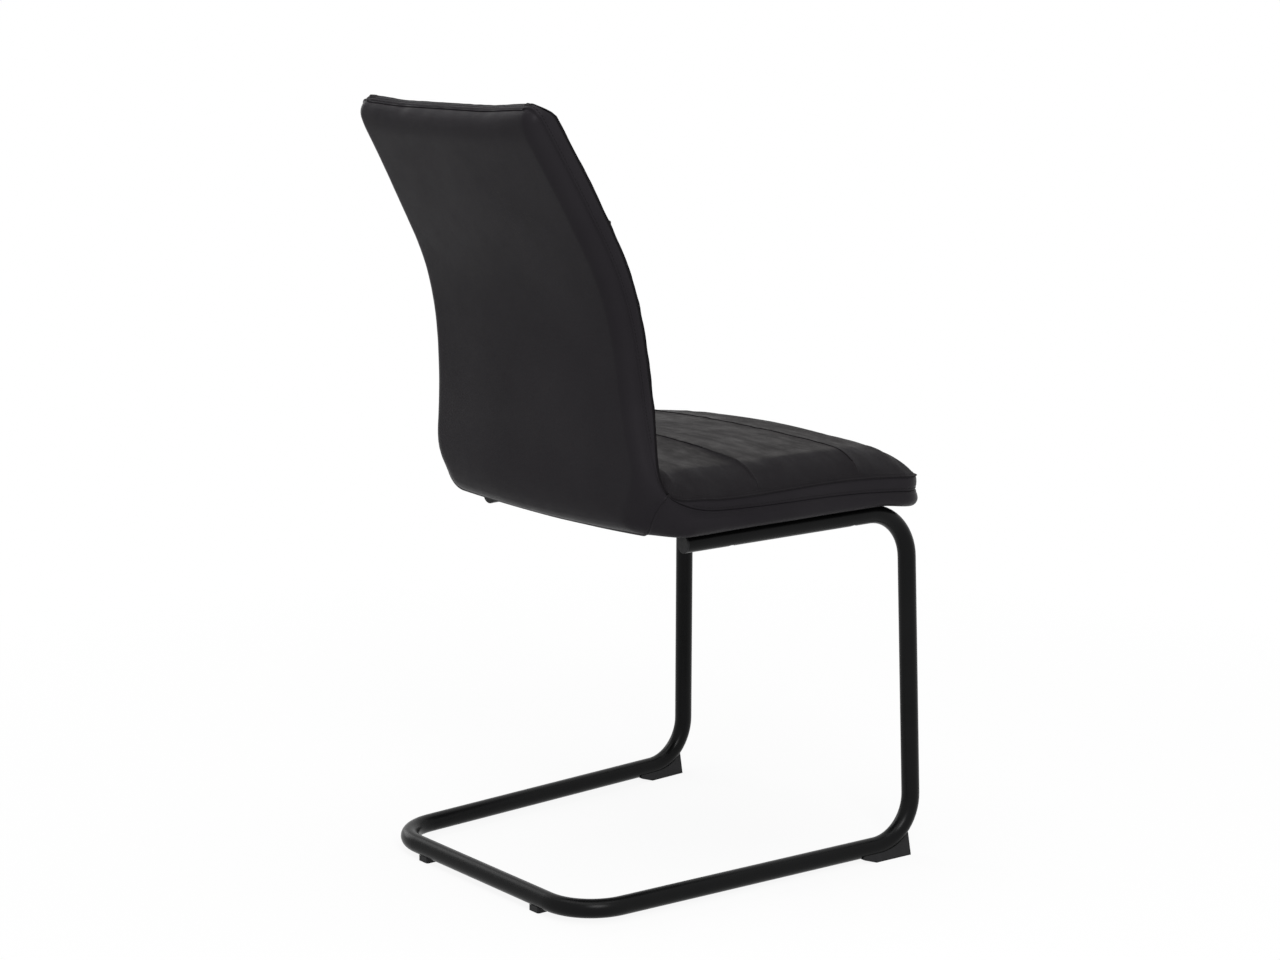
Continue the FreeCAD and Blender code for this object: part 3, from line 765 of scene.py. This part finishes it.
topCorners = {
    "left": 0.0035,          # all the leather stands up this far at each top corner of the back
    "right": 0.0056,
    "leftRun": 0.095,        # and falls away over this distance
    "rightRun": 0.110,
    "ear": 0.0010,           # the front of the left one stands up this much more
    "middle": 0.0030,        # and the whole top edge this much
    "endRun": 0.060,         # the rise starts this far below the top edge
    "halfBelow": 0.010,      # the half width is read this far below each row
}


def liftedCorners(grid, d, share):
    # draws the top corners of the back up, share 0 at the rear seam and 1 in front
    c = topCorners
    d = d + 0 * grid[..., 0]
    half = halfAt(back, d - c["halfBelow"])
    toEnd = smooth(1 - (back["length"] - d) / c["endRun"])
    x = grid[..., 0]
    left = (c["left"] + c["ear"] * share) * smooth(1 - (half - x) / c["leftRun"])
    right = c["right"] * smooth(1 - (half + x) / c["rightRun"])
    return grid + awayFromCrease(back, d) * ((left + right + c["middle"]) * toEnd)[..., None]


def padGrid(side, section, d, shoulderShares, crownShares):
    rows = d[:, None]
    half, band, rise, crown, shoulder = section(rows)
    none = np.zeros((1, 0))
    x, h = domeHalf(half, 0 * band, rise, crown, shoulder, none, shoulderShares, crownShares)
    x, h = mirrored(x, h)
    return place(side, rows, x, band + h)


# padding: cloth pressed out from inside, held at its seams

padding = {
    "frames": 24,
    "most": 0.003,           # no point is moved further
    "step": 0.0065,          # between the rows of the net
    "closest": 0.0025,       # rows nearer to the one before are left out, but not the seams
    "endGap": 0.002,
    "atSeam": 1e-4,          # a row this near to a seam lies on it
    "shoulderSteps": 7,      # columns over a shoulder, and from there to the middle
    "crownSteps": 25,
    "depth": 0.020,          # of the closed pad that is pressed out
}
clothSettings = {
    "uniform_pressure_force": 5.0,
    "quality": 6,
    "mass": 0.5,
    "tension_stiffness": 25,
    "compression_stiffness": 25,
    "shear_stiffness": 12,
    "bending_stiffness": 1.5,
    "shrink_min": -0.012,    # below 0 the cloth grows
}


def pressedOut(side, section, pad):
    # returns the distances of the net's rows, and how far each of its points moved

    def onSeam(v):
        return min(abs(v - s) for s in pad["seams"]) < padding["atSeam"]

    steps = np.arange(0, side["length"] - padding["endGap"], padding["step"])
    d = np.sort(np.unique(np.round(np.concatenate([steps, pad["seams"]]), 5)))
    keep = [d[0]]
    for v in d[1:]:
        if v - keep[-1] > padding["closest"] or onSeam(v):
            keep.append(v)
    d = np.array(keep)
    shoulderShares = np.linspace(0, 1, padding["shoulderSteps"] + 1)[None, :]
    crownShares = np.linspace(0, 1, padding["crownSteps"] + 1)[None, 1:]
    grid = padGrid(side, section, d, shoulderShares, crownShares)
    rows, columns = grid.shape[:2]
    normals = gridNormals(grid, 1 if side is back else -1)
    mesh = bpy.data.meshes.new("pressed")
    lower = grid - normals * padding["depth"]
    faces = []
    held = []
    for i in range(rows):
        for j in range(columns):
            if i in (0, rows - 1) or j in (0, columns - 1) or onSeam(d[i]):
                held.append(i * columns + j)
            held.append(rows * columns + i * columns + j)
            if i < rows - 1 and j < columns - 1:
                a = i * columns + j
                quad = [a, a + 1, a + columns + 1, a + columns]
                upper = quad if side is back else quad[::-1]
                faces.append(upper)
                faces.append([q + rows * columns for q in upper[::-1]])
    mesh.from_pydata([tuple(v) for v in np.concatenate([grid, lower]).reshape(-1, 3)], [], faces)
    obj = bpy.data.objects.new("pressed", mesh)
    bpy.context.collection.objects.link(obj)
    group = obj.vertex_groups.new(name="held")
    group.add(held, 1.0, "REPLACE")
    cloth = obj.modifiers.new("cloth", "CLOTH")
    cloth.settings.use_pressure = True
    cloth.settings.vertex_group_mass = "held"
    for key, value in clothSettings.items():
        setattr(cloth.settings, key, value)
    cloth.settings.effector_weights.gravity = 0
    scene = bpy.context.scene
    cloth.point_cache.frame_end = padding["frames"] + 1
    for f in range(1, padding["frames"] + 1):
        scene.frame_set(f)
    shape = obj.evaluated_get(bpy.context.evaluated_depsgraph_get()).to_mesh()
    after = np.array([v.co[:] for v in shape.vertices])[:rows * columns].reshape(rows, columns, 3)
    scene.frame_set(1)
    bpy.data.objects.remove(obj)
    moved = after - grid
    largest = float(np.linalg.norm(moved, axis=-1).max())
    print("  pressed out by up to", round(largest * 1000, 2), "mm")
    return d, moved * min(1, padding["most"] / largest)


def spreadOut(moved, d, rows, columns):
    # the movement of the coarse net, read at the rows and columns of the fine one
    coarse = np.linspace(0, 1, moved.shape[1])
    wide = np.stack([[np.interp(columns, coarse, row[:, k]) for row in moved] for k in range(3)], axis=-1)
    tall = [[np.interp(rows, d, wide[:, j, k]) for j in range(wide.shape[1])] for k in range(3)]
    return np.array(tall).transpose(2, 1, 0)


stitch = {
    "pitch": 0.0042,
    "length": 0.0032,
    "thickness": 0.00075,
    "inset": 0.0045,         # from the seam to the row of stitches
    "padInset": 0.0040,      # the same on a cushion, seen in plan
    "groove": 0.0005,        # depth and width of the shallow groove that they lie in
    "grooveWidth": 0.0011,
    "start": 0.012,          # a cushion's row starts this far from the crease
    "narrowest": 0.0085,     # a strip has no stitches where it is narrower
}
padPucker = {"size": 0.014, "depth": 0.0007, "reach": 0.014}


def makePad(name, side, section, pad, node):
    d = stations(side, pad["seams"], net["padStep"])
    shoulderShares, crownShares = sharesOver(*net["padColumns"])
    grid = padGrid(side, section, d, shoulderShares, crownShares)
    coarseD, moved = pressedOut(side, section, pad)
    # columns of the fine net as places on the coarse one
    shoulderSteps, crownSteps = padding["shoulderSteps"], padding["crownSteps"]
    halfPlaces = np.concatenate([shoulderShares[0] * shoulderSteps,
                                 shoulderSteps + crownShares[0] * crownSteps])
    halfPlaces /= 2 * (shoulderSteps + crownSteps)
    places = np.concatenate([halfPlaces, 1 - halfPlaces[-2::-1]])
    grid = grid + spreadOut(moved, coarseD, d, places)
    if side is back:
        grid = liftedCorners(grid, d[:, None], 1.0)
    normals = gridNormals(grid, 1 if side is back else -1)
    sideways, toEnd = fromEdges(grid)
    u = upholstery
    edge = np.minimum(sideways, toEnd)
    cross = np.min([np.abs(d - s) for s in pad["seams"]], axis=0)[:, None] + 0 * edge
    draw = pinched(edge, u["seamPinch"], u["seamRoll"])
    inside = smooth((sideways - u["crossStart"]) / u["crossFade"])
    draw = np.maximum(draw, pinched(cross, u["crossPinch"], u["crossRoll"]) * inside)
    draw = draw + stitchGroove(edge)
    grid = grid - normals * draw[..., None]
    grid = roughened(grid, normals, np.minimum(edge, cross), padPucker)
    _, band, _, _, _ = section(d[:, None])
    inner = innerNet(side, d, grid, band - u["padTuck"])
    if side is back:
        inner = liftedCorners(inner, d[:, None], 1.0)
    obj = doubleSkin(name, grid, inner, seatLeather, flip=side is seat)
    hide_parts(node)
    return grid, normals, d


seatFace = makePad("seatCushion", seat, seatSection, seatPad, "seat_cushion")
backFace = makePad("backCushion", back, backSection, backPad, "back_cushion")
print("cushions made")


# strips between the two seams, as a closed band that follows the outline

bandNet = {
    "start": 0.002,          # from the crease to a strip's ends
    "step": 0.004,           # along its sides
    "turn": 4,               # degrees round its corners
    "across": 40,            # points from a corner to the middle of the end
    "shares": np.array([0, 0.04, 0.1, 0.18, 0.28, 0.4, 0.5, 0.6, 0.72, 0.82, 0.9, 0.96, 1.0]),
}


def outline(side, start, inset=0.0):
    # distance from the crease and x of the outline, up one side, across the end and down
    last = side["length"] - side["corner"]
    straight = np.arange(start, last, bandNet["step"])
    half = halfAt(side, straight, inset)
    turn = np.radians(np.arange(0, 91, bandNet["turn"]))
    radius = side["corner"] - inset
    cornerD = last + radius * np.sin(turn)
    point, _, _ = seamFrame(side, cornerD)
    cornerX = point[0] - side["corner"] + radius * np.cos(turn)
    acrossX = np.linspace(cornerX[-1], 0, bandNet["across"])[1:]
    d = np.concatenate([straight, cornerD, np.full(len(acrossX), cornerD[-1])])
    x = np.concatenate([half, cornerX, acrossX])
    return np.concatenate([d, d[-2::-1]]), np.concatenate([x, -x[-2::-1]])


def makeStrip(name, side, heightAt, node):
    u = upholstery
    d, x = outline(side, bandNet["start"])
    high = heightAt(d)[:, None]
    shares = bandNet["shares"][None, :]
    heights = high * shares
    flat = place(side, d[:, None], x[:, None], heights)
    if side is back:
        flat = liftedCorners(flat, d[:, None], shares)
    along = np.gradient(flat[:, len(shares[0]) // 2], axis=0)
    _, ny, nz = seamFrame(side, d)
    outward = np.cross(np.stack([0 * ny, ny, nz], axis=1), along)
    outward /= np.linalg.norm(outward, axis=1, keepdims=True)
    if outward[0, 0] * x[0] < 0:
        outward = -outward
    toSeam = np.minimum(heights, high - heights)
    swell = strips["bulge"] * np.sin(np.pi * shares) - pinched(toSeam, u["seamPinch"], u["seamRoll"])
    swell = swell - stitchGroove(heights)
    outer = flat + outward[:, None] * swell[..., None]
    inner = outer[:, [-1, 0]] - outward[:, None] * u["tuck"]
    rings = np.concatenate([outer, inner], axis=1)
    obj = loopSkin(name, rings, coverLeather, flip=side is back)
    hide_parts(node)
    return outer, outward, high[:, 0]


seatStrip = makeStrip("seatSideStrip", seat, seatBand, "seat_side_strip")
backStrip = makeStrip("backSideStrip", back, backBand, "back_side_strip")
print("strips made")


# rear panel of the back, and the cover under the seat

shellForm = {
    "cornerDepth": 0.0462,
    "cornerSide": 0.004,
    "cornerShoulder": 0.055,
    "cornerCrown": 0.006,
    "rearShoulder": 0.017,
    "rearRise": 0.016,
    "rearCrown": 0.004,
    "rearSide": 0.002,
    "rearCornerRun": 0.050,
    "underShoulder": 0.012,
    "underSide": 0.007,
    "frontDrop": 0.0080,     # the bottom hangs this much lower in front of the legs
    "frontDropRun": 0.070,
    "frontSwell": 0.0075,    # and its front swells out this far
    "frontSwellRun": 0.05,
    "frontSwellDepth": 0.015,
    "underFrontRun": 0.012,
    "underCornerRun": 0.024,
    "seamReach": 0.019,      # how far the seam between them leans forward under the seat
    "seamDepth": 0.040,
    "seamPower": 1.8,
    "seamFade": 0.10,        # and over what distance the net follows it
    "endPower": 2.4,         # fullness of the roll at the top of the back
    "endRun": 0.030,
    "nearCrease": 0.12,      # rows of the net this near to the crease are a step apart
    "nearStep": 0.0015,
}
coverPucker = {"size": 0.016, "depth": 0.0006, "reach": 0.012}
coverWave = {"depth": 0.0006, "perMetre": 11, "fade": 0.03}


def underSection(d):
    f = shellForm
    point, ny, nz = seamFrame(seat, d)
    flat = (point[2] - railTop(point[1])) / (nz - rail["slope"] * ny)
    toEnd = seat["length"] - d
    flat = flat + f["frontDrop"] * smooth(1 - toEnd / f["frontDropRun"])
    flat = flat * (1 - (1 - np.clip(toEnd / f["underFrontRun"], 0, 1)) ** 4) ** 0.25
    slanted = f["cornerDepth"] + (flat - f["cornerDepth"]) * (d / f["underCornerRun"])
    level = np.maximum(thinnest["depth"], flat)
    depth = np.where(d < f["underCornerRun"], np.minimum(flat, slanted), level)
    fade = smooth(1 - d / (f["underCornerRun"] * 2))
    wall = f["underSide"] + (f["cornerSide"] - f["underSide"]) * fade
    wall = np.minimum(wall, depth * 0.4)
    crown = thinnest["crown"] + f["cornerCrown"] * fade
    rise = depth - wall - crown
    shoulder = f["underShoulder"] + (f["cornerShoulder"] - f["underShoulder"]) * fade
    shoulder = narrowed(shoulder, quarter(toEnd / f["underFrontRun"]))
    return halfAt(seat, d), wall, rise, crown, shoulder


def rearSection(d):
    f = shellForm
    fade = (1 - np.clip(d / f["rearCornerRun"], 0, 1)) ** 3
    toEnd = back["length"] - d
    share = (1 - (1 - np.clip(toEnd / f["endRun"], 0, 1)) ** f["endPower"]) ** 0.5
    wall = f["rearSide"] + (f["cornerSide"] - f["rearSide"]) * fade
    crown = f["rearCrown"] + (thinnest["crown"] + f["cornerCrown"] - f["rearCrown"]) * fade
    plain = f["rearSide"] + f["rearRise"] + f["rearCrown"]
    rise = plain + (f["cornerDepth"] - plain) * fade - wall - crown
    wall = np.maximum(thinnest["wall"], wall * share)
    rise = np.maximum(thinnest["coverRise"], rise * share)
    crown = np.maximum(thinnest["crown"], crown * share)
    shoulder = f["rearShoulder"] + (f["cornerShoulder"] - f["rearShoulder"]) * fade
    return halfAt(back, d), wall, rise, crown, narrowed(shoulder, share)


def coverGrid(side, section, d):
    half, wall, rise, crown, shoulder = section(d[:, None])
    wallShares = np.array([net["coverWall"]])
    shoulderShares, crownShares = sharesOver(*net["coverColumns"])
    x, h = domeHalf(half, wall, rise, crown, shoulder, wallShares, shoulderShares, crownShares)
    x, h = mirrored(x, h)
    return place(side, d[:, None], x, -h), h


def readAt(places, known, values):
    # values of each column at its own places
    out = np.empty((len(places),) + values.shape[1:])
    for j in range(values.shape[1]):
        for k in range(3):
            out[:, j, k] = np.interp(places[:, j], known, values[:, j, k])
    return out


def bothCovers():
    # one skin over the back and under the seat, with distances below 0 under the seat
    f = shellForm
    near = np.arange(0, f["nearCrease"], f["nearStep"])
    rearD = np.unique(np.concatenate([near, stations(back, [0.0], net["coverStep"])]))
    underD = np.unique(np.concatenate([near, stations(seat, [0.0], net["coverStep"])]))
    rear, depth = coverGrid(back, rearSection, rearD)
    under, hang = coverGrid(seat, underSection, underD)
    toFront = seat["length"] - underD[:, None]
    ahead = smooth(1 - toFront / f["frontSwellRun"]) * quarter(hang / f["frontSwellDepth"])
    way = awayFromCrease(seat, underD[:, None] + 0 * hang)
    under = under + way * (f["frontSwell"] * ahead)[..., None]
    lean = f["seamReach"] * np.clip(depth[0] / f["seamDepth"], 0, 1) ** f["seamPower"]
    return np.concatenate([-underD[:0:-1], rearD]), np.concatenate([under[:0:-1], rear]), lean


skinD, skin, seamLean = bothCovers()


def makeCover(name, side, node):
    u = upholstery
    d = stations(side, [0.0], net["coverStep"])
    rows = d[:, None]
    leant = seamLean[None, :] * smooth(1 - rows / shellForm["seamFade"])
    grid = readAt(rows - leant if side is back else -(rows + leant), skinD, skin)
    if side is back:
        grid = liftedCorners(grid, rows, 0.0)
    normals = gridNormals(grid, -1 if side is back else 1)
    sideways, toEnd = fromEdges(grid)
    edge = np.minimum(sideways, toEnd)
    draw = pinched(edge, u["seamPinch"], u["seamRoll"])
    draw = np.maximum(draw, pinched(rows + 0 * edge, u["diagonalPinch"], u["diagonalRoll"]))
    grid = grid - normals * draw[..., None]
    grid = roughened(grid, normals, edge, coverPucker)
    # long soft waves of leather over thin wadding
    for i in range(grid.shape[0]):
        for j in range(grid.shape[1]):
            fade = float(smooth(edge[i, j] / coverWave["fade"]))
            wave = noise.noise(Vector(grid[i, j]) * coverWave["perMetre"])
            grid[i, j] += normals[i, j] * fade * coverWave["depth"] * wave
    inner = innerNet(side, d, grid, u["coverTuck"])
    if side is back:
        inner = liftedCorners(inner, rows, 0.0)
    obj = doubleSkin(name, grid, inner, coverLeather, flip=side is back)
    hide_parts(node)
    return obj


rearPanel = makeCover("backRearPanel", back, "back_rear_panel")
makeCover("seatUnderside", seat, "seat_underside_panel")
print("covers made")


# topstitches, each a short rounded piece of thread

threadForm = {
    "rings": [(-1, 0.45), (-0.72, 0.9), (0, 1.0), (0.72, 0.9), (1, 0.45)],   # place, width
    "sides": 6,
    "lift": 0.25,            # its middle and its ends over the leather, in its own widths
    "dip": 0.75,
    "ahead": 0.001,
}


def valuesAt(places, run, values):
    return np.stack([np.interp(places, run, values[:, k]) for k in range(3)], axis=1)


def stitchMesh(name, lines):
    # lines: pairs of points along a row and the surface normals there
    sides = threadForm["sides"]
    thickness = stitch["thickness"]
    vertices = []
    faces = []
    for points, normals in lines:
        step = np.linalg.norm(np.diff(points, axis=0), axis=1)
        run = np.concatenate([[0], np.cumsum(step)])
        at = np.arange(stitch["pitch"], run[-1] - stitch["pitch"], stitch["pitch"])
        centre = valuesAt(at, run, points)
        ahead = valuesAt(at + threadForm["ahead"], run, points)
        normal = valuesAt(at, run, normals)
        way = ahead - centre
        way /= np.linalg.norm(way, axis=1, keepdims=True)
        normal -= way * (normal * way).sum(1, keepdims=True)
        normal /= np.linalg.norm(normal, axis=1, keepdims=True)
        aside = np.cross(normal, way)
        for c, w, n, a in zip(centre, way, normal, aside):
            base = len(vertices)
            # the thread rises out of one hole and dips into the next
            for s, size in threadForm["rings"]:
                lift = thickness * (threadForm["lift"] - threadForm["dip"] * s ** 4)
                middle = c + w * (s * stitch["length"] / 2) + n * lift
                for q in range(sides):
                    turn = 2 * math.pi * q / sides
                    outwards = n * math.sin(turn) + a * math.cos(turn)
                    vertices.append(middle + outwards * (size * thickness / 2))
            rings = len(threadForm["rings"])
            for r in range(rings - 1):
                for q in range(sides):
                    low = base + r * sides
                    k = (q + 1) % sides
                    faces.append([low + q, low + k, low + sides + k, low + sides + q])
            faces.append([base + q for q in range(sides)][::-1])
            faces.append([base + (rings - 1) * sides + q for q in range(sides)])
    return meshOf(name, vertices, faces, thread)


def alongStrip(face, outward, high):
    # a line on a strip at a fixed distance from the seam that its heights start from
    share = stitch["inset"] / high
    line = [[np.interp(s, bandNet["shares"], row[:, k]) for k in range(3)] for s, row in zip(share, face)]
    keep = high > stitch["narrowest"]
    return np.array(line)[keep], outward[keep]


def onPad(side, grid, normals, rows):
    # a line on a padded face at a fixed distance inside its outline
    d, x = outline(side, stitch["start"], stitch["padInset"])
    points = []
    ways = []
    for a, b in zip(d, x):
        i = int(np.clip(np.searchsorted(rows, a) - 1, 0, len(rows) - 2))
        t = (a - rows[i]) / (rows[i + 1] - rows[i])
        pair = []
        for row in (i, i + 1):
            xs = grid[row, ::-1, 0]
            pair.append([np.interp(b, xs, grid[row, ::-1, k]) for k in range(3)]
                        + [np.interp(b, xs, normals[row, ::-1, k]) for k in range(3)])
        mixed = np.array(pair[0]) * (1 - t) + np.array(pair[1]) * t
        points.append(mixed[:3])
        ways.append(mixed[3:])
    return np.array(points), np.array(ways)


stitchMesh("stripStitches", [alongStrip(*backStrip), alongStrip(*seatStrip)])
stitchMesh("cushionStitches", [onPad(seat, *seatFace), onPad(back, *backFace)])
print("stitches made")


# floor, lights and background

studio = {
    "background": 1.0,
    "ambient": 0.38,
    "floorHalf": 9.0,
    "floorPaint": 0.86,
    "floorShow": 0.90,       # share of the floor's look that is plain white, near the chair
    "floorNear": 0.3,        # within this distance of the middle
    "floorPlain": 1.6,       # beyond this distance it is all plain white
}
lamps = [   # name, place, point aimed at, size, watts
    ("overhead", (0.0, 0.2, 3.0), (0, 0, 0.5), (2.4, 2.4), 42),
    ("leftSide", (2.9, 0.3, 1.5), (0, 0, 0.6), (1.4, 2.0), 18),
    ("rightSide", (-2.0, 1.0, 2.0), (0, 0.1, 0.6), (0.9, 1.2), 44),
]


def rayShare(tree):
    # 1 for rays from the camera and for reflected and transmitted ones
    path = tree.nodes.new("ShaderNodeLightPath")
    total = path.outputs["Is Camera Ray"]
    for name in ("Is Glossy Ray", "Is Transmission Ray"):
        total = mathNode(tree, "MAXIMUM", total, path.outputs[name])
    return total


def mixedOutput(tree, outputType, share, lit, seen):
    mix = tree.nodes.new("ShaderNodeMixShader")
    output = tree.nodes.new(outputType)
    tree.links.new(share, mix.inputs[0])
    tree.links.new(lit.outputs[0], mix.inputs[1])
    tree.links.new(seen.outputs[0], mix.inputs[2])
    tree.links.new(mix.outputs[0], output.inputs[0])


def makeWorld():
    world = bpy.data.worlds.new("studio")
    bpy.context.scene.world = world
    tree = emptyTree(world)
    lit = tree.nodes.new("ShaderNodeBackground")
    seen = tree.nodes.new("ShaderNodeBackground")
    for node, strength in ((lit, studio["ambient"]), (seen, studio["background"])):
        node.inputs["Color"].default_value = (1, 1, 1, 1)
        node.inputs["Strength"].default_value = strength
    mixedOutput(tree, "ShaderNodeOutputWorld", rayShare(tree), lit, seen)


def makeFloor():
    mesh = bpy.data.meshes.new("floor")
    half = studio["floorHalf"]
    corners = [(-half, -half, 0), (half, -half, 0), (half, half, 0), (-half, half, 0)]
    mesh.from_pydata(corners, [], [(0, 1, 2, 3)])
    obj = bpy.data.objects.new("floor", mesh)
    bpy.context.collection.objects.link(obj)
    material = bpy.data.materials.new("paleFloor")
    tree = emptyTree(material)
    paint = tree.nodes.new("ShaderNodeBsdfDiffuse")
    grey = studio["floorPaint"]
    paint.inputs["Color"].default_value = (grey, grey, grey, 1)
    glow = tree.nodes.new("ShaderNodeEmission")
    glow.inputs["Strength"].default_value = studio["background"]
    coords = tree.nodes.new("ShaderNodeTexCoord")
    away = tree.nodes.new("ShaderNodeVectorMath")
    away.operation = "LENGTH"
    tree.links.new(coords.outputs["Object"], away.inputs[0])
    near, far = studio["floorNear"], studio["floorPlain"]
    show = rangeNode(tree, away.outputs["Value"], near, far, studio["floorShow"], 1.0)
    share = mathNode(tree, "MULTIPLY", rayShare(tree), show)
    mixedOutput(tree, "ShaderNodeOutputMaterial", share, paint, glow)
    mesh.materials.append(material)


def areaLight(name, place, aim, size, power):
    data = bpy.data.lights.new(name, "AREA")
    data.shape = "RECTANGLE"
    data.size, data.size_y = size
    data.energy = power
    obj = bpy.data.objects.new(name, data)
    bpy.context.collection.objects.link(obj)
    obj.location = place
    obj.rotation_euler = (Vector(aim) - Vector(place)).to_track_quat("-Z", "Y").to_euler()


makeWorld()
makeFloor()
for lamp in lamps:
    areaLight(*lamp)
print("studio made")
